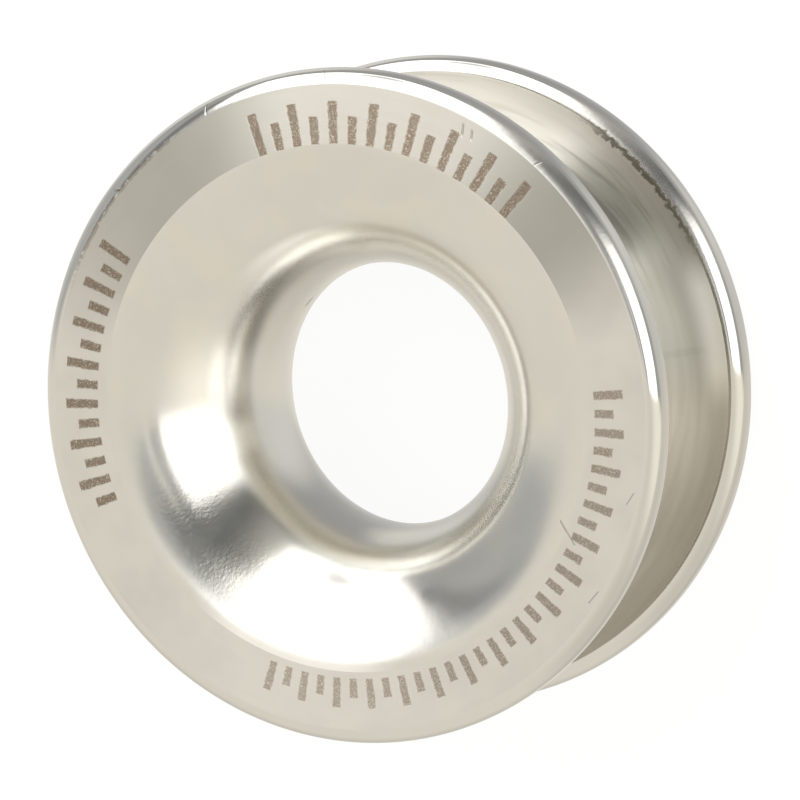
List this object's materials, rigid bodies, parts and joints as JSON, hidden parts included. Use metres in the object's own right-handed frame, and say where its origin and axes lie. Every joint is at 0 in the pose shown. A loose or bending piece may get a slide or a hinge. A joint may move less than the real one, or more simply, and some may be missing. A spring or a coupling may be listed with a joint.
{
  "type": "low friction ring",
  "caption": "Turned stainless steel ring with a smoothly flared bore for a running line and a half-round rope groove round the outside.",
  "frame": {"origin": "middle of the ring, on the bore's axis, half way between the end faces", "axes": "+Z along the bore's axis, upwards out of the upper end face; the ring lies flat on its lower end face"},
  "size_m": [0.02, 0.02, 0.0078],
  "materials": {
    "steel": "satin end faces and turned groove, polished flare and rims"
  },
  "bodies": {
    "root": {"ring": "steel"}
  },
  "joints": []
}
